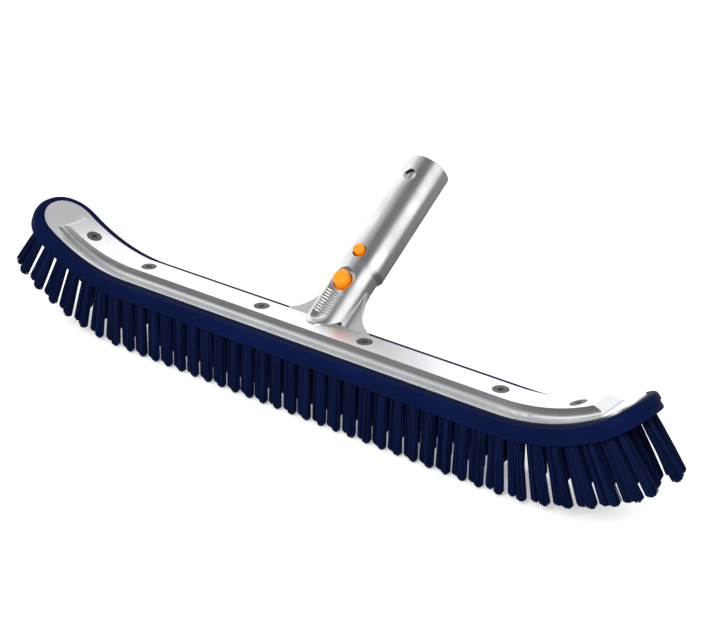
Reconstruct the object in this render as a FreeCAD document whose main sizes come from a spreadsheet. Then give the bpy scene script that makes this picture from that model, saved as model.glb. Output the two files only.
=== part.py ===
import FreeCAD, Part
import math
import os
import Sketcher
from FreeCAD import Placement, Rotation, Vector

# A curved-end pool wall brush. Millimetres, +Z up. The origin is at the middle of the plane
# that the bristle tips stand on; the long side runs along X and the handle leans towards +Y.

os.makedirs("parts", exist_ok=True)
doc = FreeCAD.newDocument("pool_wall_brush")

dimensions = {
    # the path of the rib's top: straight, then an arc up at each end; reaches are arc lengths
    "half_straight": 139.6,
    "bend_radius": 119.4,
    "rib_top": 53.6,
    # aluminium back plate
    "rib_half": 8.65,
    "rib_rise": 5.4,
    "rib_reach": 203.8,
    "rib_bevel": 5.2,
    "cove_radius": 3.3,
    "flange_half": 17.4,
    "flange_thick": 2.0,
    "flange_reach": 221.5,
    "flange_corner": 17.0,
    # moulded block: depths are below the rib's top
    "recess_gap": 0.2,
    "lip_depth": 6.4,
    "bead_half": 23.9,
    "bead_depth": 11.6,
    "bead_round": 2.5,
    "block_reach": 226.0,
    "block_corner": 22.4,
    "skirt_inset": 0.9,
    "skirt_depth": 16.5,
    "skirt_round": 1.0,
    # bristle tufts, their holes and anchors
    "tuft_pitch": 11.2,
    "row_outer": 18.0,
    "row_inner": 15.2,
    "tuft_radius": 2.5,
    "tuft_lean": 1.06,
    "hole_radius": 2.65,
    "hole_deep": 6.2,
    "anchor_high": 1.0,
    "anchor_wide": 3.8,
    "anchor_thick": 0.4,
    "anchor_gap": 0.1,
    "edge_margin": 3.6,
    "screw_wall": 0.5,
    # screws through the rib, at three arc lengths each side
    "screw_near": 39.3,
    "screw_mid": 133.6,
    "screw_far": 183.4,
    "screw_head": 4.9,
    "screw_shank": 1.95,
    "screw_long": 14.6,
    "screw_gap": 0.06,
    "screw_room": 0.3,
    "cross_arm": 2.4,
    "cross_wide": 0.9,
    "cross_deep": 1.4,
    # screws from below into the handle's foot
    "foot_screw_x": 8.0,
    "foot_screw_y": 14.6,
    "foot_head": 3.9,
    "foot_head_high": 2.0,
    "foot_shank": 1.95,
    "foot_screw_high": 3.8,
    "foot_head_room": 0.4,
    # cast handle: lengths run up the tube from where its axis crosses the rib's top plane
    "axis_y": 23.0,
    "tilt": 53.7,
    "tube_radius": 14.25,
    "tube_start": 31.0,
    "tube_end": 112.5,
    "tube_rim": 0.8,
    "bore_radius": 11.25,
    "bore_start": 31.0,
    "neck_radius": 13.0,
    "neck_shift": 1.15,
    "neck_start": -46.0,
    "neck_end": 27.0,
    "web_thick": 4.0,
    "web_top": 17.0,
    "web_half": 30.6,
    "web_foot": -7.9,
    "web_bottom": -16.0,
    "web_arc": 27.0,
    "web_overlap": 0.4,
    "foot_step": 12.6,
    "foot_back": 17.3,
    "foot_clear": 1.0,
    "underside_slope": 15.5,
    "envelope": 60.0,
    "overshoot": 5.0,
    "hole_root": 4.0,
    "cross_hole": 4.0,
    "cross_hole_at": 97.0,
    # thumb trough and button pocket in the handle's front
    "trough_radius": 10.0,
    "trough_out": 20.3,
    "trough_low": -9.0,
    "trough_high": 16.0,
    "groove_deep": 0.2,
    "groove_wide": 0.8,
    "groove_pitch": 1.9,
    "groove_count": 9,
    "pocket_radius": 7.9,
    "pocket_floor": 11.6,
    # latch lever, with its buttons, pin and spring
    "lock_at": 37.0,
    "lock_radius": 3.5,
    "lock_out": 16.55,
    "lock_round": 0.8,
    "lock_hole": 4.3,
    "lock_hole_shift": 0.45,
    "release_at": 15.8,
    "release_radius": 5.2,
    "release_out": 16.3,
    "release_round": 1.7,
    "release_hole": 6.0,
    "release_hole_shift": 0.2,
    "arm_half": 4.5,
    "arm_front": 9.2,
    "arm_back": 5.2,
    "button_root": 1.0,
    "pad_radius": 6.2,
    "channel_half": 6.9,
    "channel_front": 9.7,
    "channel_back": 2.6,
    "channel_low": 8.4,
    "pivot_at": 60.0,
    "pivot_out": 6.2,
    "eye_radius": 2.8,
    "eye_half": 6.0,
    "pin_radius": 1.5,
    "pin_gap": 0.05,
    "pin_left": 12.4,
    "pin_right": 11.2,
    "spring_at": 47.0,
    "spring_radius": 2.7,
    "spring_wire": 0.4,
    "spring_pitch": 2.2,
    "spring_foot": 10.5,
    "spring_gap": 0.05,
}

sheet = doc.addObject("Spreadsheet::Sheet", "dim")
for row, (alias, value) in enumerate(dimensions.items(), start=1):
    sheet.set(f"A{row}", alias)
    sheet.set(f"B{row}", str(value))
    sheet.setAlias(f"B{row}", alias)
doc.recompute()


def dim(alias):
    """The value of one cell of the sheet."""
    return float(sheet.get(alias))


def bind(item, **expressions):
    """Bind properties to the sheet; a name such as Base_x means Placement.Base.x."""
    for name, expression in expressions.items():
        path = name.replace("Base_", "Placement.Base.")
        item.setExpression(path, expression)
    return item


def add(kind, label, **expressions):
    item = doc.addObject(kind, label)
    item.Label = label
    return bind(item, **expressions)


def cut(label, base, *tools):
    """Take the tools away from the base, one boolean after another."""
    for number, tool in enumerate(tools, start=1):
        name = label if number == len(tools) else f"{label}_cut_{number}"
        item = add("Part::Cut", name)
        item.Base = base
        item.Tool = tool
        base = item
    doc.recompute()
    return base


def fuse(label, *pieces):
    item = add("Part::MultiFuse", label)
    item.Shapes = list(pieces)
    item.Refine = True
    doc.recompute()
    return item


def rounded(label, base, radius, wanted):
    """Fillet the edges of the base for which wanted(edge) is true."""
    chosen = [n for n, edge in enumerate(base.Shape.Edges, start=1) if wanted(edge)]
    item = add("Part::Fillet", label)
    item.Base = base
    item.Edges = [(n, radius, radius) for n in chosen]
    doc.recompute()
    return item


def bend_angle(reach):
    """The angle, in degrees, that the path has turned at this arc length."""
    past = max(abs(reach) - dim("half_straight"), 0.0)
    return math.degrees(past / dim("bend_radius"))


def station(reach, depth=0.0, across=0.0, lean=1.0):
    """A placement on the path: X along it, Z outwards. The lean multiplies the bend's turn."""
    side = 1 if reach >= 0 else -1
    angle = math.radians(bend_angle(reach))
    radius = dim("bend_radius") + depth
    straight = min(abs(reach), dim("half_straight"))
    x = straight + radius * math.sin(angle)
    z = dim("rib_top") + dim("bend_radius") - radius * math.cos(angle)
    turn = Rotation(Vector(0, 1, 0), -side * math.degrees(angle) * lean)
    return Placement(Vector(side * x, across, z), turn)


def depth_of(point):
    """How far a point lies below the path of the rib's top."""
    past = abs(point.x) - dim("half_straight")
    centre_z = dim("rib_top") + dim("bend_radius")
    if past <= 0:
        return dim("rib_top") - point.z
    return math.hypot(past, centre_z - point.z) - dim("bend_radius")


def at_depth(edge, depth):
    """True for an edge that runs along the path or across it at one depth."""
    points = [vertex.Point for vertex in edge.Vertexes] + [edge.valueAt(edge.ParameterRange[0])]
    return all(abs(depth_of(point) - depth) < 0.01 for point in points)


def across_seam(edge):
    """True for an edge where the straight and the bent stretches meet."""
    ends = [vertex.Point for vertex in edge.Vertexes]
    return all(abs(abs(end.x) - dim("half_straight")) < 0.01 for end in ends)


def bent_layer(label, top, bottom, half, reach):
    """A strip between two depths: a box, and at each end a sector of a tube about the bend."""
    pieces = [add(
        "Part::Box", f"{label}_middle",
        Length="2 * dim.half_straight", Width=f"2 * ({half})", Height=f"({bottom}) - ({top})",
        Base_x="-dim.half_straight", Base_y=f"-({half})", Base_z=f"dim.rib_top - ({bottom})",
    )]
    for side, name in ((1, "right"), (-1, "left")):
        turn = Rotation(Vector(0, 0, -1), Vector(side, 0, 0), Vector(0, -side, 0), "ZXY")
        rings = []
        for depth, place in ((bottom, "outer"), (top, "inner")):
            ring = add(
                "Part::Cylinder", f"{label}_{name}_{place}",
                Radius=f"dim.bend_radius + ({depth})", Height=f"2 * ({half})",
                Angle=f"(({reach}) - dim.half_straight) / dim.bend_radius * 180 / pi",
                Base_x=f"{side} * dim.half_straight", Base_y=f"{side} * ({half})",
                Base_z="dim.rib_top + dim.bend_radius",
            )
            ring.Placement.Rotation = turn
            rings.append(ring)
        pieces.append(cut(f"{label}_{name}", *rings))
    return fuse(f"{label}_strip", *pieces)


def round_ends(label, strip, radius, reach):
    """Round the four upright corners of a bent layer's ends."""
    angle = math.radians(bend_angle(reach))

    def is_corner(edge):
        along = (edge.Vertexes[-1].Point - edge.Vertexes[0].Point)
        if abs(along.y) > 0.01 or along.Length < 0.01:
            return False
        steep = abs(abs(along.normalize().x) - math.sin(angle)) < 0.001
        return steep and abs(edge.Vertexes[0].Point.x) > dim("half_straight") + 1

    return rounded(label, strip, radius, is_corner)


def spread(label, source, places):
    """A group of copies of one shape, as separate solids."""
    group = add("Part::Feature", label)
    solids = []
    for place in places:
        solid = source.Shape.copy()
        solid.Placement = place.multiply(source.Shape.Placement)
        solids.append(solid)
    group.Shape = Part.makeCompound(solids)
    return group


# --- where the tufts and the screws stand -------------------------------------------------

screw_reaches = [side * dim(f"screw_{name}") for name in ("near", "mid", "far") for side in (-1, 1)]


def tuft_reaches(across, first):
    """Arc lengths of one row's tufts: an even pitch along the floors of the holes, from the
    first tuft each side of the middle, clear of the rounded ends and of the screws."""
    pitch = dim("tuft_pitch")
    skirt = dim("bead_half") - dim("skirt_inset")
    centre = dim("block_reach") - skirt
    limit = centre + math.sqrt((skirt - dim("edge_margin")) ** 2 - across ** 2)
    shrink = dim("bend_radius") / (dim("bend_radius") + dim("skirt_depth") - dim("hole_deep"))
    reaches = set()
    flat = first
    while True:
        past = max(flat - dim("half_straight"), 0.0)
        reach = min(flat, dim("half_straight")) + past * shrink
        if reach > limit:
            break
        reaches.update([-reach, reach])
        flat += pitch
    clear = dim("hole_radius") + dim("screw_shank") + dim("screw_wall")
    if across == 0:
        reaches = {r for r in reaches if all(abs(r - s) > clear for s in screw_reaches)}
    return sorted(reaches)


# a zigzag double row along each long edge, its inner tufts half a pitch along, and a centre row
half_pitch = dim("tuft_pitch") / 2
row_layout = {
    "front": (-dim("row_outer"), 0),
    "front_mid": (-dim("row_inner"), half_pitch),
    "centre": (0, 0),
    "rear_mid": (dim("row_inner"), half_pitch),
    "rear": (dim("row_outer"), 0),
}
rows = {}
for row_name, (row_y, first) in row_layout.items():
    rows[row_name] = [
        station(reach, dim("skirt_depth"), row_y, dim("tuft_lean"))
        for reach in tuft_reaches(row_y, first)
    ]

# --- bristle tufts and anchors ------------------------------------------------------------

tuft = add(
    "Part::Cylinder", "one_tuft", Radius="dim.tuft_radius",
    Height="dim.rib_top - dim.skirt_depth + dim.hole_deep - dim.anchor_high - 2 * dim.anchor_gap",
    Base_z="dim.skirt_depth - dim.rib_top",
)
tuft_hole = add(
    "Part::Cylinder", "one_tuft_hole", Radius="dim.hole_radius",
    Height="dim.hole_deep + dim.overshoot", Base_z="-dim.overshoot",
)
anchor = add(
    "Part::Box", "one_anchor", Length="dim.anchor_wide", Width="dim.anchor_thick",
    Height="dim.anchor_high", Base_x="-dim.anchor_wide / 2", Base_y="-dim.anchor_thick / 2",
    Base_z="dim.hole_deep - dim.anchor_high - dim.anchor_gap",
)
doc.recompute()

nodes = []
for row_name, places in rows.items():
    nodes.append(spread(f"{row_name}_tufts", tuft, places))
    nodes.append(spread(f"{row_name}_anchors", anchor, places))
tuft_holes = spread("tuft_holes", tuft_hole, [place for places in rows.values() for place in places])

# --- screws ---------------------------------------------------------------------------------

screw_places = [station(reach) for reach in screw_reaches]


def countersunk(label, head, shank, length):
    """A countersunk screw or its hole, pointing down from the origin."""
    cone = add(
        "Part::Cone", f"{label}_head", Radius1=shank, Radius2=head,
        Height=f"({head}) - ({shank})", Base_z=f"({shank}) - ({head})",
    )
    stem = add(
        "Part::Cylinder", f"{label}_stem", Radius=shank, Height=length, Base_z=f"-({length})",
    )
    return fuse(label, cone, stem)


screw_body = countersunk("screw_body", "dim.screw_head", "dim.screw_shank", "dim.screw_long")
cross_bars = []
for turned in (0, 90):
    bar = add(
        "Part::Box", f"cross_bar_{turned}",
        Length="2 * dim.cross_arm" if turned == 0 else "dim.cross_wide",
        Width="dim.cross_wide" if turned == 0 else "2 * dim.cross_arm",
        Height="dim.cross_deep + dim.overshoot",
        Base_x="-dim.cross_arm" if turned == 0 else "-dim.cross_wide / 2",
        Base_y="-dim.cross_wide / 2" if turned == 0 else "-dim.cross_arm",
        Base_z="-dim.cross_deep",
    )
    cross_bars.append(bar)
screw = cut("one_plate_screw", screw_body, *cross_bars)
nodes.append(spread("plate_screws", screw, screw_places))
screw_sink = countersunk(
    "screw_sink", "dim.screw_head + dim.screw_gap", "dim.screw_shank + dim.screw_gap",
    "dim.screw_long + dim.screw_room",
)
# above a flat head in the bend, the rib's surface rises, so the hole goes on upwards
screw_mouth = add(
    "Part::Cylinder", "screw_mouth", Radius="dim.screw_head + dim.screw_gap",
    Height="dim.overshoot",
)
screw_bore = fuse("screw_bore", screw_sink, screw_mouth)
screw_holes = spread("screw_holes", screw_bore, screw_places)

plate_bottom = "dim.rib_rise + dim.flange_thick"
foot_places = [
    Placement(Vector(side * dim("foot_screw_x"), dim("foot_screw_y"), dim("rib_top")), Rotation())
    for side in (-1, 1)
]
foot_stem = add(
    "Part::Cylinder", "foot_screw_stem", Radius="dim.foot_shank",
    Height=f"dim.foot_screw_high + {plate_bottom}", Base_z=f"-({plate_bottom})",
)
foot_cap = add(
    "Part::Cylinder", "foot_screw_cap", Radius="dim.foot_head", Height="dim.foot_head_high",
    Base_z=f"-({plate_bottom}) - dim.foot_head_high",
)
foot_screw = fuse("one_foot_screw", foot_stem, foot_cap)
nodes.append(spread("foot_screws", foot_screw, foot_places))
foot_bore = add(
    "Part::Cylinder", "foot_bore", Radius="dim.foot_shank + dim.screw_gap",
    Height=f"dim.foot_screw_high + {plate_bottom} + dim.screw_room + 1", Base_z=f"-({plate_bottom}) - 1",
)
foot_pocket = add(
    "Part::Cylinder", "foot_pocket", Radius="dim.foot_head + dim.foot_head_room",
    Height="dim.foot_head_high + dim.foot_head_room + 1",
    Base_z=f"-({plate_bottom}) - dim.foot_head_high - dim.foot_head_room",
)
doc.recompute()
foot_holes = spread("foot_holes", foot_bore, foot_places)
foot_pockets = spread("foot_pockets", foot_pocket, foot_places)

# --- back plate ------------------------------------------------------------------------------

flange_strip = bent_layer("flange", "dim.rib_rise", plate_bottom, "dim.flange_half", "dim.flange_reach")
flange = round_ends("flange_round", flange_strip, dim("flange_corner"), dim("flange_reach"))
rib_strip = bent_layer("rib", "0", "dim.rib_rise + 1", "dim.rib_half", "dim.rib_reach")
plate_blank = fuse("plate_blank", flange, rib_strip)


def is_cove(edge):
    first, last = edge.Vertexes[0].Point, edge.Vertexes[-1].Point
    beside = all(abs(abs(end.y) - dim("rib_half")) < 0.01 for end in (first, last))
    return beside and abs(last.y - first.y) < 1 and at_depth(edge, dim("rib_rise"))


plate_coved = rounded("plate_coved", plate_blank, dim("cove_radius"), is_cove)

# a box whose lower face is the slope at the rib's end
bevel_box = add(
    "Part::Box", "bevel_box", Length="dim.rib_bevel * sqrt(2)",
    Width="2 * (dim.rib_half + dim.overshoot)", Height="3 * dim.overshoot",
    Base_y="-dim.rib_half - dim.overshoot",
)
doc.recompute()
bevel_places = []
for side in (-1, 1):
    place = station(side * (dim("rib_reach") - dim("rib_bevel")))
    facing = Rotation(Vector(0, 0, 1), 0 if side > 0 else 180)
    bevel_places.append(place.multiply(Placement(Vector(), facing)).multiply(
        Placement(Vector(), Rotation(Vector(0, 1, 0), 45))
    ))
bevels = spread("bevels", bevel_box, bevel_places)
back_plate = cut("back_plate", plate_coved, bevels, screw_holes, foot_holes)
nodes.append(back_plate)

# --- moulded block -----------------------------------------------------------------------------

bead_strip = bent_layer("bead", "dim.lip_depth", "dim.bead_depth", "dim.bead_half", "dim.block_reach")
bead_blank = round_ends("bead_round_ends", bead_strip, dim("block_corner"), dim("block_reach"))
bead = rounded(
    "bead_edges", bead_blank, dim("bead_round"),
    lambda edge: at_depth(edge, dim("lip_depth")) and not across_seam(edge),
)
skirt_reach = "dim.block_reach - dim.skirt_inset"
skirt_strip = bent_layer(
    "skirt", "dim.bead_depth - 1", "dim.skirt_depth", "dim.bead_half - dim.skirt_inset", skirt_reach,
)
skirt_blank = round_ends(
    "skirt_round_ends", skirt_strip, dim("block_corner") - dim("skirt_inset"),
    dim("block_reach") - dim("skirt_inset"),
)
skirt = rounded(
    "skirt_edges", skirt_blank, dim("skirt_round"),
    lambda edge: at_depth(edge, dim("skirt_depth")) and not across_seam(edge),
)
recess_reach = "dim.flange_reach + dim.recess_gap"
recess_strip = bent_layer(
    "recess", "dim.lip_depth - 1", plate_bottom, "dim.flange_half + dim.recess_gap", recess_reach,
)
recess = round_ends(
    "recess_round", recess_strip, dim("flange_corner") + dim("recess_gap"),
    dim("flange_reach") + dim("recess_gap"),
)
block_blank = fuse("block_blank", bead, skirt)
brush_block = cut("brush_block", block_blank, recess, screw_holes, foot_pockets, tuft_holes)
nodes.append(brush_block)

# --- cast handle ---------------------------------------------------------------------------------
# Built upright: local Z runs up the tube, local -Y faces the front, then it is tilted back.

tilted = Placement(
    Vector(0, dim("axis_y"), dim("rib_top")), Rotation(Vector(-1, 0, 0), dim("tilt")),
)


def tilt_back(item):
    item.Placement = tilted
    bind(item, Base_y="dim.axis_y", Base_z="dim.rib_top")
    item.setExpression("Placement.Rotation.Angle", "dim.tilt")
    doc.recompute()
    return item


def facing_front(label, radius, at, inner, outer):
    """A round peg whose axis is square to the tube, from inner to outer, on the front."""
    peg = add(
        "Part::Cylinder", label, Radius=radius, Height=f"({outer}) - ({inner})",
        Base_y=f"-({inner})", Base_z=at,
    )
    peg.Placement.Rotation = Rotation(Vector(1, 0, 0), 90)
    return peg


def new_sketch(body, label, plane, offset="0"):
    """A sketch on one of the body's own planes, lifted by offset along its normal."""
    sketch = body.newObject("Sketcher::SketchObject", label)
    support = [item for item in body.Origin.OriginFeatures if item.Role == plane][0]
    sketch.AttachmentSupport = (support, [""])
    sketch.MapMode = "FlatFace"
    sketch.setExpression("AttachmentOffset.Base.z", offset)
    return sketch


def draw_circle(sketch, radius, centre_y="0"):
    """A circle on the sketch's vertical axis, held by its radius and height."""
    circle = sketch.addGeometry(Part.Circle(Vector(0, 0, 0), Vector(0, 0, 1), 5), False)
    held = sketch.addConstraint(Sketcher.Constraint("Radius", circle, 5.0))
    sketch.setExpression(f"Constraints[{held}]", radius)
    sketch.addConstraint(Sketcher.Constraint("DistanceX", circle, 3, 0.0))
    height = sketch.addConstraint(Sketcher.Constraint("DistanceY", circle, 3, 0.0))
    sketch.setExpression(f"Constraints[{height}]", centre_y)


casting = doc.addObject("PartDesign::Body", "casting")
neck_circle = new_sketch(casting, "neck_circle", "XY_Plane", "dim.neck_start")
draw_circle(neck_circle, "dim.neck_radius", "-dim.neck_shift")
neck = casting.newObject("PartDesign::Pad", "neck")
neck.Profile = neck_circle
neck.setExpression("Length", "dim.neck_end - dim.neck_start")
doc.recompute()
flare_low = new_sketch(casting, "flare_low", "XY_Plane", "dim.neck_end")
draw_circle(flare_low, "dim.neck_radius", "-dim.neck_shift")
flare_high = new_sketch(casting, "flare_high", "XY_Plane", "dim.tube_start")
draw_circle(flare_high, "dim.tube_radius")
doc.recompute()
flare = casting.newObject("PartDesign::AdditiveLoft", "flare")
flare.Profile = flare_low
flare.Sections = [flare_high]
doc.recompute()
tube_circle = new_sketch(casting, "tube_circle", "XY_Plane", "dim.tube_start")
draw_circle(tube_circle, "dim.tube_radius")
tube = casting.newObject("PartDesign::Pad", "tube")
tube.Profile = tube_circle
tube.setExpression("Length", "dim.tube_end - dim.tube_start")
doc.recompute()
casting.Tip = tube

# the webs: one plate through the axis, with a concave edge each side
web_corner_x = dim("tube_radius") - dim("web_overlap")
web_edges = []
for side in (1, -1):
    top = Vector(side * web_corner_x, 0, dim("web_top"))
    foot = Vector(side * dim("web_half"), 0, dim("web_foot"))
    chord = foot - top
    inward = Vector(-chord.z, 0, chord.x) * (-side)
    sag = dim("web_arc") - math.sqrt(dim("web_arc") ** 2 - (chord.Length / 2) ** 2)
    middle = (top + foot) / 2 + inward.normalize() * sag
    web_edges.append((top, middle, foot))
(top_right, bow_right, foot_right), (top_left, bow_left, foot_left) = web_edges
low_right = Vector(dim("web_half"), 0, dim("web_bottom"))
low_left = Vector(-dim("web_half"), 0, dim("web_bottom"))
web_outline = Part.Wire([
    Part.LineSegment(top_left, top_right).toShape(),
    Part.Arc(top_right, bow_right, foot_right).toShape(),
    Part.LineSegment(foot_right, low_right).toShape(),
    Part.LineSegment(low_right, low_left).toShape(),
    Part.LineSegment(low_left, foot_left).toShape(),
    Part.Arc(foot_left, bow_left, top_left).toShape(),
])
webs = add("Part::Feature", "webs")
web_face = Part.Face(web_outline)
web_face.translate(Vector(0, -dim("web_thick") / 2, 0))
webs.Shape = web_face.extrude(Vector(0, dim("web_thick"), 0))
solid_casting = fuse("solid_casting", casting, webs)

bore = add(
    "Part::Cylinder", "bore", Radius="dim.bore_radius",
    Height="dim.tube_end - dim.bore_start + dim.overshoot", Base_z="dim.bore_start",
)
channel = add(
    "Part::Box", "channel", Length="2 * dim.channel_half",
    Width="dim.channel_front + dim.channel_back", Height="dim.bore_start - dim.channel_low + 1",
    Base_x="-dim.channel_half", Base_y="-dim.channel_front", Base_z="dim.channel_low",
)
lock_bore = facing_front(
    "lock_bore", "dim.lock_hole", "dim.lock_at - dim.lock_hole_shift", "dim.hole_root",
    "dim.tube_radius + dim.overshoot",
)
release_bore = facing_front(
    "release_bore", "dim.release_hole", "dim.release_at - dim.release_hole_shift", "dim.hole_root",
    "dim.tube_radius + dim.overshoot",
)
button_pocket = facing_front(
    "button_pocket", "dim.pocket_radius", "dim.release_at", "dim.pocket_floor",
    "dim.tube_radius + dim.overshoot",
)
cross_bore = facing_front(
    "cross_bore", "dim.cross_hole", "dim.cross_hole_at", "-dim.tube_radius - dim.overshoot",
    "dim.tube_radius + dim.overshoot",
)
trough_long = add(
    "Part::Cylinder", "trough_long", Radius="dim.trough_radius",
    Height="dim.trough_high - dim.trough_low", Base_y="-dim.trough_out", Base_z="dim.trough_low",
)
trough_end = add(
    "Part::Sphere", "trough_end", Radius="dim.trough_radius", Base_y="-dim.trough_out",
    Base_z="dim.trough_low",
)
grooves = []
for number in range(int(dim("groove_count"))):
    grooves.append(add(
        "Part::Cylinder", f"groove_{number}", Radius="dim.trough_radius + dim.groove_deep",
        Height="dim.groove_wide", Base_y="-dim.trough_out",
        Base_z=f"dim.trough_low + {number} * dim.groove_pitch",
    ))
doc.recompute()
trough = fuse("trough", trough_long, trough_end, *grooves)
pin_bore = add(
    "Part::Cylinder", "pin_bore", Radius="dim.pin_radius + dim.pin_gap / 5",
    Height="dim.pin_right + dim.tube_radius + dim.overshoot",
    Base_x="-dim.tube_radius - dim.overshoot", Base_y="-dim.pivot_out", Base_z="dim.pivot_at",
)
pin_bore.Placement.Rotation = Rotation(Vector(0, 1, 0), 90)
doc.recompute()
hollow_casting = cut(
    "hollow_casting", solid_casting, bore, channel, lock_bore, release_bore, button_pocket,
    cross_bore, trough, pin_bore,
)
rimmed_casting = rounded(
    "rimmed_casting", hollow_casting, dim("tube_rim"),
    lambda edge: all(abs(v.Point.z - dim("tube_end")) < 0.01 for v in edge.Vertexes)
    and len(edge.Vertexes) == 1,
)
tilt_back(rimmed_casting)

# the space that the back plate and the block take under the casting
under_rib = add(
    "Part::Box", "under_rib", Length="2 * dim.envelope", Width="dim.envelope + dim.foot_step",
    Height="dim.envelope", Base_x="-dim.envelope", Base_y="-dim.envelope",
    Base_z="dim.rib_top - dim.envelope",
)
under_flange = add(
    "Part::Box", "under_flange", Length="2 * dim.envelope", Width="2 * dim.envelope",
    Height="dim.envelope", Base_x="-dim.envelope",
    Base_z="dim.rib_top - dim.rib_rise - dim.envelope",
)
under_lip = add(
    "Part::Box", "under_lip", Length="2 * dim.envelope", Width="2 * dim.envelope",
    Height="dim.envelope", Base_x="-dim.envelope", Base_y="dim.foot_back",
    Base_z="dim.rib_top - dim.rib_rise + dim.foot_clear - dim.envelope",
)
# below the foot's back edge the casting's underside slopes up, away from the block
underside = add(
    "Part::Box", "underside", Length="2 * dim.envelope", Width="1.5 * dim.envelope",
    Height="dim.envelope",
)
slope = Placement(
    Vector(0, dim("foot_back"), dim("rib_top") - dim("rib_rise")),
    Rotation(Vector(1, 0, 0), dim("underside_slope")),
)
underside.Placement = slope.multiply(
    Placement(Vector(-dim("envelope"), 0, -dim("envelope")), Rotation())
)
doc.recompute()
handle_socket = cut(
    "handle_socket", rimmed_casting, under_rib, under_flange, under_lip, underside, foot_holes,
)
nodes.append(handle_socket)

# --- latch lever, pin and spring -----------------------------------------------------------------

arm = add(
    "Part::Box", "lever_arm", Length="2 * dim.arm_half", Width="dim.arm_front - dim.arm_back",
    Height="dim.pivot_at - dim.release_at", Base_x="-dim.arm_half", Base_y="-dim.arm_front",
    Base_z="dim.release_at",
)
pad = facing_front("lever_pad", "dim.pad_radius", "dim.release_at", "dim.arm_back", "dim.arm_front")
eye = add(
    "Part::Cylinder", "lever_eye", Radius="dim.eye_radius", Height="2 * dim.eye_half",
    Base_x="-dim.eye_half", Base_y="-dim.pivot_out", Base_z="dim.pivot_at",
)
eye.Placement.Rotation = Rotation(Vector(0, 1, 0), 90)
buttons = []
for name in ("lock", "release"):
    peg = facing_front(
        f"{name}_peg", f"dim.{name}_radius", f"dim.{name}_at", "dim.arm_back + dim.button_root",
        f"dim.{name}_out",
    )
    doc.recompute()
    front = -dim(f"{name}_out")
    buttons.append(rounded(
        f"{name}_button", peg, dim(f"{name}_round"),
        lambda edge: all(abs(v.Point.y - front) < 0.01 for v in edge.Vertexes),
    ))
lever_blank = fuse("lever_blank", arm, pad, eye, *buttons)
eye_bore = add(
    "Part::Cylinder", "eye_bore", Radius="dim.pin_radius + dim.pin_gap",
    Height="2 * dim.eye_half + 4", Base_x="-dim.eye_half - 2", Base_y="-dim.pivot_out",
    Base_z="dim.pivot_at",
)
eye_bore.Placement.Rotation = Rotation(Vector(0, 1, 0), 90)
doc.recompute()
latch_lever = tilt_back(cut("latch_lever", lever_blank, eye_bore))
nodes.append(latch_lever)

pin_body = doc.addObject("PartDesign::Body", "latch_pivot_pin")
pin_circle = new_sketch(pin_body, "pin_circle", "YZ_Plane", "-dim.pin_left")
draw_circle(pin_circle, "dim.pin_radius")
pin = pin_body.newObject("PartDesign::Pad", "pin_pad")
pin.Profile = pin_circle
pin.setExpression("Length", "dim.pin_left + dim.pin_right - 0.2")
doc.recompute()
pin_body.Tip = pin
pin_body.Placement = tilted.multiply(Placement(Vector(0, -dim("pivot_out"), dim("pivot_at")), Rotation()))
doc.recompute()
nodes.append(pin_body)

coil = add(
    "Part::Helix", "spring_coil", Pitch="dim.spring_pitch", Radius="dim.spring_radius",
    Height="dim.spring_foot + dim.arm_back - 2 * dim.spring_wire - 2 * dim.spring_gap",
)
coil.Angle = 0
wire = add("Part::Circle", "spring_wire", Radius="dim.spring_wire", Base_x="dim.spring_radius")
wire.Placement.Rotation = Rotation(Vector(1, 0, 0), 90)
doc.recompute()
spring = add("Part::Sweep", "latch_spring")
spring.Sections = [wire]
spring.Spine = (coil, [])
spring.Solid = True
spring.Frenet = True
spring_seat = Placement(
    Vector(0, -dim("arm_back") + dim("spring_wire") + dim("spring_gap"), dim("spring_at")),
    Rotation(Vector(1, 0, 0), -90),
)
spring.Placement = tilted.multiply(spring_seat)
doc.recompute()
nodes.append(spring)

# --- checks and files ---------------------------------------------------------------------------

for item in doc.Objects:
    if "Invalid" in item.State or "Error" in item.State:
        raise RuntimeError(f"{item.Label} did not compute: {item.State}")
for node in nodes:
    if node.Shape.isNull() or not node.Shape.isValid() or not node.Shape.Solids:
        raise RuntimeError(f"{node.Label} is not a valid solid")
    print(node.Label, len(node.Shape.Solids), "solids", round(node.Shape.Volume), "mm3")
for node in nodes:
    node.Shape.exportStep(f"parts/{node.Label}.step")
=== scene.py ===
import math

import bpy
import numpy as np
from mathutils import Matrix, Vector


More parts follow.
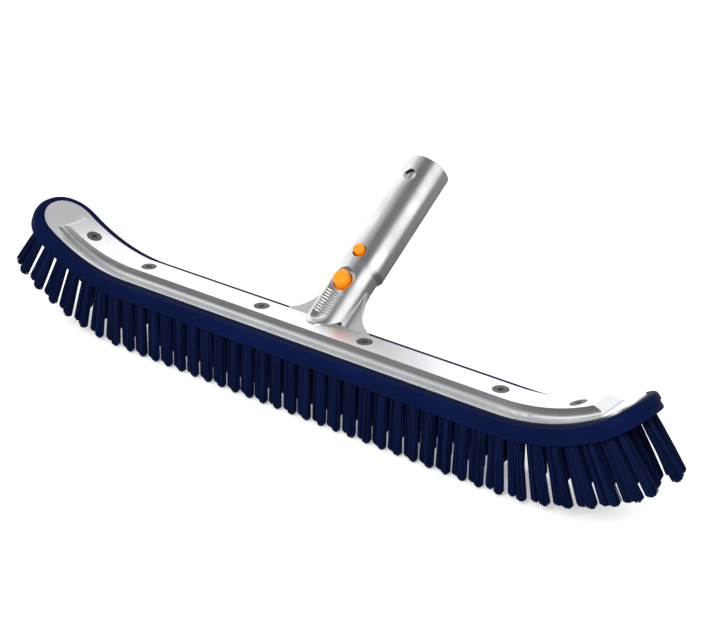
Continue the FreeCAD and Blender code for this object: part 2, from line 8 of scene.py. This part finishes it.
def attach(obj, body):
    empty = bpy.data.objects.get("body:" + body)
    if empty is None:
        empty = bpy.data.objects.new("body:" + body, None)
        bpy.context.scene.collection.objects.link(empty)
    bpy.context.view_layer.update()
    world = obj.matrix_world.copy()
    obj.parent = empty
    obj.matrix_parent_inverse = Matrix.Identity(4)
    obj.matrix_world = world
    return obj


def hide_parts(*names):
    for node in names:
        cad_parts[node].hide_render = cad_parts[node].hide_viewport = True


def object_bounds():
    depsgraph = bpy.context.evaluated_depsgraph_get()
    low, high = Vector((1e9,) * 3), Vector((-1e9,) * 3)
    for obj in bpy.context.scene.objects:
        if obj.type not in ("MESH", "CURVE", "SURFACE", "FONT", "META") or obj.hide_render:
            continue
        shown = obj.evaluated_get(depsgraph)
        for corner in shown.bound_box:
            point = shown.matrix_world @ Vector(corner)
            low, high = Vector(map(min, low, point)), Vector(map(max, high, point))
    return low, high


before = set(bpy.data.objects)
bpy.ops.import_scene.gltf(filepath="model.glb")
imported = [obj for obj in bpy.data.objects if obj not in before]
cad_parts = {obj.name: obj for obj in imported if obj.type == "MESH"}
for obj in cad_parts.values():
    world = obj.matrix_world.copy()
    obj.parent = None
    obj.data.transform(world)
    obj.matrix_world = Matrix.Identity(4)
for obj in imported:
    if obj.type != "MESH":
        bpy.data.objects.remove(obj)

# The looks of a pool wall brush. Finishes and tufts have their sizes in millimetres, and the
# floor, the light and the camera in metres.

mm = 0.001
cadBox = [list(corner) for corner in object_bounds()]
print("frame loaded:", len(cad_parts), "nodes")


def fromHex(code):
    # sRGB hex to linear colour: below 0.04045 a straight line, above it a 2.4 power
    parts = [int(code[i:i + 2], 16) / 255 for i in (1, 3, 5)]
    linear = [c / 12.92 if c <= 0.04045 else ((c + 0.055) / 1.055) ** 2.4 for c in parts]
    return (*linear, 1.0)


def addNode(tree, kind, values=None, links=None, **settings):
    # one node, with its settings, its own socket values and what feeds its inputs
    made = tree.nodes.new(kind)
    for name, value in settings.items():
        setattr(made, name, value)
    for socket, value in (values or {}).items():
        made.inputs[socket].default_value = value
    for socket, source in (links or {}).items():
        tree.links.new(source, made.inputs[socket])
    return made


def newMaterial(name):
    made = bpy.data.materials.new(name)
    made.use_nodes = True
    tree = made.node_tree
    tree.nodes.clear()
    shader = addNode(tree, "ShaderNodeBsdfPrincipled")
    addNode(tree, "ShaderNodeOutputMaterial", links={"Surface": shader.outputs[0]})
    return made, tree, shader


def objectNoise(tree, grain, stretch=(1, 1, 1), detail=2.0):
    # noise whose cells are one grain wide, in millimetres, on Object coordinates
    place = addNode(tree, "ShaderNodeTexCoord")
    mapped = addNode(
        tree, "ShaderNodeMapping", {"Scale": tuple(1 / (grain * mm * s) for s in stretch)},
        {"Vector": place.outputs["Object"]},
    )
    return addNode(
        tree, "ShaderNodeTexNoise", {"Scale": 1.0, "Detail": detail},
        {"Vector": mapped.outputs[0]},
    ).outputs["Fac"]


noiseMiddle = (0.3, 0.7)  # most of a noise lies between these


def remap(tree, source, low, high):
    # the middle of a noise, spread over low to high
    span = {1: noiseMiddle[0], 2: noiseMiddle[1], 3: low, 4: high}
    return addNode(tree, "ShaderNodeMapRange", span, {"Value": source}).outputs[0]


def mixColours(tree, first, second, share):
    mix = addNode(
        tree, "ShaderNodeMix", {6: fromHex(first), 7: fromHex(second)}, {0: share},
        data_type="RGBA",
    )
    return mix.outputs[2]


edgeSamples = 6  # rays that look for an edge to soften


def bump(tree, height, depth, roundEdge=0.0):
    # depth in millimetres; the shaded normal turns softly within roundEdge of an edge
    links = {"Height": height}
    if roundEdge:
        links["Normal"] = addNode(
            tree, "ShaderNodeBevel", {"Radius": roundEdge * mm}, samples=edgeSamples,
        ).outputs[0]
    return addNode(tree, "ShaderNodeBump", {"Distance": depth * mm}, links).outputs[0]


plateFinish = {
    "bright": "#EFF0F2", "dull": "#E2E4E7", "roughness": (0.27, 0.35),
    "line": 0.9, "lineLength": 70.0, "lineDepth": 0.0025, "cloud": 28.0,
}


def satinAluminium(f=plateFinish):
    # 6063 aluminium, extruded, bent and brushed lengthwise: a bright satin whose fine lines
    # run along the plate. The real lines are about 0.1 mm apart and are drawn coarser.
    made, tree, shader = newMaterial("satinAluminium")
    lines = objectNoise(tree, f["line"], (f["lineLength"] / f["line"], 1, 1), 3.0)
    clouds = objectNoise(tree, f["cloud"])
    shader.inputs["Metallic"].default_value = 1.0
    tree.links.new(mixColours(tree, f["bright"], f["dull"], remap(tree, clouds, 0, 1)),
                   shader.inputs["Base Color"])
    tree.links.new(remap(tree, lines, *f["roughness"]), shader.inputs["Roughness"])
    tree.links.new(bump(tree, lines, f["lineDepth"]), shader.inputs["Normal"])
    return made


castFinish = {
    "bright": "#E3E4E5", "dull": "#CFD1D3", "roughness": (0.24, 0.34),
    "grain": 1.6, "depth": 0.012, "edge": 0.9, "cloud": 14.0,
}


def castAluminium(f=castFinish):
    # die-cast aluminium, tumbled and polished: soft edges, a faint pebbled skin and
    # slightly cloudy reflections.
    made, tree, shader = newMaterial("castAluminium")
    skin = objectNoise(tree, f["grain"], detail=3.0)
    clouds = objectNoise(tree, f["cloud"])
    shader.inputs["Metallic"].default_value = 1.0
    tree.links.new(mixColours(tree, f["bright"], f["dull"], remap(tree, clouds, 0, 1)),
                   shader.inputs["Base Color"])
    tree.links.new(remap(tree, clouds, *f["roughness"]), shader.inputs["Roughness"])
    tree.links.new(bump(tree, skin, f["depth"], f["edge"]), shader.inputs["Normal"])
    return made


blockFinish = {
    "deep": "#020C30", "lit": "#04123B", "roughness": (0.48, 0.6),
    "specular": 0.035, "grain": 0.9, "depth": 0.012, "edge": 0.5, "flow": 22.0,
}


def mouldedPolypropylene(f=blockFinish):
    # polypropylene, injection moulded in navy: an even colour with faint flow marks and a
    # fine spark-eroded texture that keeps its gloss low.
    made, tree, shader = newMaterial("mouldedPolypropylene")
    flow = objectNoise(tree, f["flow"], (3, 1, 1))
    skin = objectNoise(tree, f["grain"], detail=4.0)
    shader.inputs["Specular IOR Level"].default_value = f["specular"]
    tree.links.new(mixColours(tree, f["deep"], f["lit"], remap(tree, flow, 0, 1)),
                   shader.inputs["Base Color"])
    tree.links.new(remap(tree, skin, *f["roughness"]), shader.inputs["Roughness"])
    tree.links.new(bump(tree, skin, f["depth"], f["edge"]), shader.inputs["Normal"])
    return made


bristleFinish = {
    "deep": "#030A26", "lit": "#091841", "roughness": (0.45, 0.6), "specular": 0.06,
    "wax": 2.5,
}


def bristlePolypropylene(f=bristleFinish):
    # extruded polypropylene filament in navy: each filament has its own shade, from the
    # mesh's own attribute, and a dull waxy sheen that varies along it.
    made, tree, shader = newMaterial("bristlePolypropylene")
    shade = addNode(tree, "ShaderNodeAttribute", attribute_name="shade").outputs["Fac"]
    wax = objectNoise(tree, f["wax"], (1, 1, 4))
    shader.inputs["Specular IOR Level"].default_value = f["specular"]
    tree.links.new(mixColours(tree, f["deep"], f["lit"], shade), shader.inputs["Base Color"])
    tree.links.new(remap(tree, wax, *f["roughness"]), shader.inputs["Roughness"])
    return made


buttonFinish = {
    "lit": "#FF9205", "deep": "#F47F00", "roughness": (0.3, 0.42), "specular": 0.3,
    "grain": 0.6, "depth": 0.006, "edge": 0.3, "flow": 5.0,
}


def mouldedAcetal(f=buttonFinish):
    # acetal, moulded in orange: strong even colour and a soft gloss on rounded edges.
    made, tree, shader = newMaterial("mouldedAcetal")
    skin = objectNoise(tree, f["grain"])
    flow = objectNoise(tree, f["flow"])
    shader.inputs["Specular IOR Level"].default_value = f["specular"]
    tree.links.new(mixColours(tree, f["lit"], f["deep"], remap(tree, flow, 0, 1)),
                   shader.inputs["Base Color"])
    tree.links.new(remap(tree, skin, *f["roughness"]), shader.inputs["Roughness"])
    tree.links.new(bump(tree, skin, f["depth"], f["edge"]), shader.inputs["Normal"])
    return made


screwFinish = {
    "bright": "#787977", "dull": "#585958", "roughness": (0.5, 0.65), "grain": 0.7,
    "depth": 0.01, "edge": 0.25,
}
steelFinish = {
    "bright": "#C6C8C9", "dull": "#A5A7A9", "roughness": (0.25, 0.4), "grain": 0.8,
    "depth": 0.006, "edge": 0.25,
}


def screwSteel(name, f):
    # stainless steel, cold headed: grey and a little dull, with tool marks under the gloss.
    made, tree, shader = newMaterial(name)
    marks = objectNoise(tree, f["grain"], detail=4.0)
    shader.inputs["Metallic"].default_value = 1.0
    tree.links.new(mixColours(tree, f["bright"], f["dull"], remap(tree, marks, 0, 1)),
                   shader.inputs["Base Color"])
    tree.links.new(remap(tree, marks, *f["roughness"]), shader.inputs["Roughness"])
    tree.links.new(bump(tree, marks, f["depth"], f["edge"]), shader.inputs["Normal"])
    return made


plateMetal = satinAluminium()
castMetal = castAluminium()
blockPlastic = mouldedPolypropylene()
bristlePlastic = bristlePolypropylene()
buttonPlastic = mouldedAcetal()
darkSteel = screwSteel("dullStainlessSteel", screwFinish)
brightSteel = screwSteel("brightStainlessSteel", steelFinish)
print("materials made")


def finishCad(node, material):
    # the CAD mesh stays as it is and takes a real finish
    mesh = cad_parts[node].data
    mesh.materials.clear()
    mesh.materials.append(material)


rowNames = ("front", "front_mid", "centre", "rear_mid", "rear")
finishCad("brush_block", blockPlastic)
finishCad("back_plate", plateMetal)
finishCad("handle_socket", castMetal)
finishCad("latch_lever", buttonPlastic)
finishCad("plate_screws", darkSteel)
for node in ("foot_screws", "latch_pivot_pin", "latch_spring"):
    finishCad(node, brightSteel)
for rowName in rowNames:
    finishCad(f"{rowName}_anchors", brightSteel)
print("CAD pieces finished")


tufts = {
    "filaments": 40, "radius": 0.36, "sides": 6, "rootSpread": 2.15, "tipSpread": 2.65,
    "fanOpen": 0.75, "dome": 2.2, "lengthScatter": 0.3, "sideScatter": 0.1, "bow": 0.22,
    "tipRound": 0.35, "tipWidth": 0.5, "stations": (0.0, 0.35, 0.7), "shades": (0.15, 0.9),
    "steep": 0.7, "rodGap": 1.5, "seed": 7,
}


def capCentres(node, facing, t=tufts):
    # Middles of the CAD rods' flat ends, in order along the row: the end faces are the
    # triangles whose normal is steep, up (1) at the roots or down (-1) at the tips, and a
    # gap along X starts the next rod. A middle is halfway between lowest and highest corner.
    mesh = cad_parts[node].data
    points = np.empty(len(mesh.vertices) * 3)
    mesh.vertices.foreach_get("co", points)
    normals = np.empty(len(mesh.polygons) * 3)
    mesh.polygons.foreach_get("normal", normals)
    corners = np.empty(len(mesh.loops), int)
    mesh.loops.foreach_get("vertex_index", corners)
    steep = normals.reshape(-1, 3)[:, 2] * facing > t["steep"]
    ends = points.reshape(-1, 3)[corners.reshape(-1, 3)[steep].ravel()]
    ends = ends[np.argsort(ends[:, 0])]
    starts = np.append(0, np.flatnonzero(np.diff(ends[:, 0]) > t["rodGap"] * mm) + 1)
    return (np.minimum.reduceat(ends, starts) + np.maximum.reduceat(ends, starts)) / 2


def meshFromRings(name, rings, shade):
    # rings: (threads, rings, sides, 3). Quads join each ring to the next and a polygon
    # closes each end, wound so that faces point outwards.
    threads, count, sides = rings.shape[:3]
    index = np.arange(threads * count * sides).reshape(threads, count, sides)
    turned = np.roll(index, -1, axis=2)
    quads = np.stack([index[:, :-1], turned[:, :-1], turned[:, 1:], index[:, 1:]], -1)
    caps = np.concatenate([index[:, 0, ::-1], index[:, -1]])
    mesh = bpy.data.meshes.new(name)
    mesh.from_pydata(
        rings.reshape(-1, 3).tolist(), [], quads.reshape(-1, 4).tolist() + caps.tolist(),
    )
    mesh.polygons.foreach_set("use_smooth", np.ones(len(mesh.polygons), bool))
    tone = mesh.attributes.new("shade", "FLOAT", "POINT")
    tone.data.foreach_set("value", np.repeat(shade, count * sides).astype(np.float32))
    piece = bpy.data.objects.new(name, mesh)
    bpy.context.scene.collection.objects.link(piece)
    return piece


def bristleRow(name, node, random, t=tufts):
    # Filament k of n stands at a sunflower spiral's place, sqrt(k / n) of the spread out
    # and k golden angles round, so the bundle is round and even. It runs from the hole's
    # floor to a domed tip, bowed sideways by a parabola, and is a ring of sides at each
    # station along it, with a smaller last ring that rounds its tip.
    roots, tips = capCentres(node, 1), capCentres(node, -1)
    axis = tips - roots
    length = np.linalg.norm(axis, axis=1)[:, None]
    axis = axis / length
    side = np.cross(axis, (0, 1, 0))
    side = side / np.linalg.norm(side, axis=1)[:, None]
    back = np.cross(side, axis)

    def across(u, v):
        return u[..., None] * side[:, None] + v[..., None] * back[:, None]

    shape = (len(roots), t["filaments"])
    k = np.arange(t["filaments"]) + 0.5
    out = np.sqrt(k / t["filaments"])
    golden = math.pi * (3 - math.sqrt(5))
    spiral = k * golden + random.uniform(0, 2 * math.pi, (len(roots), 1))
    u, v = out * np.cos(spiral), out * np.sin(spiral)
    start = roots[:, None] + across(u, v) * t["rootSpread"] * mm
    u = u * (1 + t["fanOpen"] * np.abs(axis[:, :1]))  # a leaning tuft opens along its row
    drop = t["dome"] * out ** 2 + random.uniform(0, t["lengthScatter"], shape)
    scatter = across(*random.normal(0, t["sideScatter"], (2, *shape)))
    end = tips[:, None] + across(u, v) * t["tipSpread"] * mm
    end = end + scatter * mm - axis[:, None] * drop[..., None] * mm
    bow = across(*random.normal(0, t["bow"], (2, *shape))) * mm
    tipStart = 1 - t["tipRound"] * mm / length.mean()
    along = np.array([*t["stations"], tipStart, 1.0])
    radii = np.array([1.0] * (len(along) - 1) + [t["tipWidth"]]) * t["radius"] * mm
    s = along[None, None, :, None]
    centre = start[:, :, None] * (1 - s) + end[:, :, None] * s
    centre = centre + bow[:, :, None] * 4 * s * (1 - s)
    turn = np.arange(t["sides"]) * 2 * math.pi / t["sides"]
    ring = np.cos(turn)[:, None] * side[:, None] + np.sin(turn)[:, None] * back[:, None]
    rings = centre[:, :, :, None] + ring[:, None, None] * radii[None, None, :, None, None]
    shade = random.uniform(*t["shades"], shape).ravel()
    piece = meshFromRings(name, rings.reshape(-1, len(along), t["sides"], 3), shade)
    piece.data.materials.append(bristlePlastic)
    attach(piece, "brush")
    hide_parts(node)
    return len(roots)


random = np.random.default_rng(tufts["seed"])
for rowName in rowNames:
    made = bristleRow(f"{rowName}Bristles", f"{rowName}_tufts", random)
    print(rowName, "bristles:", made, "tufts of", tufts["filaments"], "filaments")


studio = {
    # the drop is the gap under the lowest tip, in millimetres
    "floorSize": 8.0, "floorColour": "#F7F7F7", "floorRoughness": 0.9, "drop": 0.3,
    "floorSpecular": 0.1, "floorGlow": 0.35, "fill": 1.0,
    # the dim room in the metal: strength above and below, and the heights it changes between
    "above": 0.17, "below": 0.12, "horizon": (-0.25, 0.1),
    # soft boxes that the metal mirrors: towards, half angle of the full part and of the
    # fade, strength
    "boxes": (
        ((-0.80, 0.60, 0.15), 36, 62, 1.15),
        ((0.88, 0.10, 0.40), 15, 36, 1.3),
        ((-0.55, -0.25, 0.80), 8, 30, 0.45),
        ((0.20, 0.95, 0.25), 20, 50, 0.6),
    ),
    "key": {"at": (0.35, -1.25, 0.85), "size": 0.9, "power": 14.0},
    "backdrop": 1.0,
}
cameraPlace = {
    "at": (0.57971, -0.71555, 0.47084), "azimuth": 37.24, "elevation": 24.03, "roll": -1.47,
    "lens": 85.35, "sensor": 36.0,
}


def makeFloor(s=studio):
    half = s["floorSize"] / 2
    z = cadBox[0][2] - s["drop"] * mm
    mesh = bpy.data.meshes.new("floor")
    corners = [(-half, -half, z), (half, -half, z), (half, half, z), (-half, half, z)]
    mesh.from_pydata(corners, [], [(0, 1, 2, 3)])
    floor = bpy.data.objects.new("floor", mesh)
    bpy.context.scene.collection.objects.link(floor)
    made, tree, shader = newMaterial("paperSweep")  # matt studio paper
    shader.inputs["Base Color"].default_value = fromHex(s["floorColour"])
    shader.inputs["Roughness"].default_value = s["floorRoughness"]
    shader.inputs["Specular IOR Level"].default_value = s["floorSpecular"]
    shader.inputs["Emission Color"].default_value = fromHex(s["floorColour"])
    shader.inputs["Emission Strength"].default_value = s["floorGlow"]
    mesh.materials.append(made)
    floor.visible_glossy = False


def makeSky(s=studio):
    # What lights matt surfaces is an even white fill. What the metal mirrors is a dim room
    # with soft boxes: each adds its strength inside its cone and fades smoothly to nothing
    # outside it. The backdrop behind the object is plain white.
    world = bpy.data.worlds.new("studio")
    world.use_nodes = True
    world.cycles.sampling_method = "NONE"
    tree = world.node_tree
    tree.nodes.clear()
    way = addNode(tree, "ShaderNodeTexCoord").outputs["Generated"]
    height = addNode(tree, "ShaderNodeSeparateXYZ", links={0: way}).outputs["Z"]
    room = {1: s["horizon"][0], 2: s["horizon"][1], 3: s["below"], 4: s["above"]}
    total = addNode(
        tree, "ShaderNodeMapRange", room, {0: height}, interpolation_type="SMOOTHSTEP",
    ).outputs[0]
    for towards, full, fade, strength in s["boxes"]:
        facing = addNode(
            tree, "ShaderNodeVectorMath", {1: Vector(towards).normalized()}, {0: way},
            operation="DOT_PRODUCT",
        ).outputs["Value"]
        edges = {1: math.cos(math.radians(fade)), 2: math.cos(math.radians(full))}
        box = addNode(
            tree, "ShaderNodeMapRange", {**edges, 3: 0.0, 4: strength}, {0: facing},
            interpolation_type="SMOOTHSTEP",
        ).outputs[0]
        total = addNode(
            tree, "ShaderNodeMath", links={0: total, 1: box}, operation="ADD",
        ).outputs[0]
    rays = addNode(tree, "ShaderNodeLightPath").outputs
    mirrored = addNode(tree, "ShaderNodeBackground", links={"Strength": total})
    fill = addNode(tree, "ShaderNodeBackground", {"Strength": s["fill"]})
    backdrop = addNode(tree, "ShaderNodeBackground", {"Strength": s["backdrop"]})
    for light in (mirrored, fill, backdrop):
        light.inputs["Color"].default_value = (1, 1, 1, 1)
    lit = addNode(
        tree, "ShaderNodeMixShader",
        links={0: rays["Is Glossy Ray"], 1: fill.outputs[0], 2: mirrored.outputs[0]},
    )
    seen = addNode(
        tree, "ShaderNodeMixShader",
        links={0: rays["Is Camera Ray"], 1: lit.outputs[0], 2: backdrop.outputs[0]},
    )
    addNode(tree, "ShaderNodeOutputWorld", links={"Surface": seen.outputs[0]})
    bpy.context.scene.world = world


def makeKey(k=studio["key"]):
    light = bpy.data.lights.new("key", "AREA")
    light.shape = "DISK"
    light.size = k["size"]
    light.energy = k["power"]
    lamp = bpy.data.objects.new("key", light)
    lamp.location = k["at"]
    lamp.rotation_euler = (-Vector(k["at"])).to_track_quat("-Z", "Y").to_euler()
    bpy.context.scene.collection.objects.link(lamp)


def makeCamera(c=cameraPlace):
    # the view's right, up and backward directions, turned by the roll about the sight line
    azimuth, elevation, roll = (math.radians(c[k]) for k in ("azimuth", "elevation", "roll"))
    backward = Vector((math.sin(azimuth) * math.cos(elevation),
                       -math.cos(azimuth) * math.cos(elevation), math.sin(elevation)))
    right = Vector((math.cos(azimuth), math.sin(azimuth), 0))
    up = backward.cross(right)
    right, up = (right * math.cos(roll) - up * math.sin(roll),
                 right * math.sin(roll) + up * math.cos(roll))
    data = bpy.data.cameras.new("camera")
    data.lens = c["lens"]
    data.sensor_width = c["sensor"]
    camera = bpy.data.objects.new("camera", data)
    turn = Matrix((right, up, backward)).transposed().to_4x4()
    camera.matrix_world = Matrix.Translation(c["at"]) @ turn
    bpy.context.scene.collection.objects.link(camera)
    bpy.context.scene.camera = camera


makeFloor()
makeSky()
makeKey()
makeCamera()
bpy.context.scene.view_settings.view_transform = "Standard"
print("floor, light and camera made")
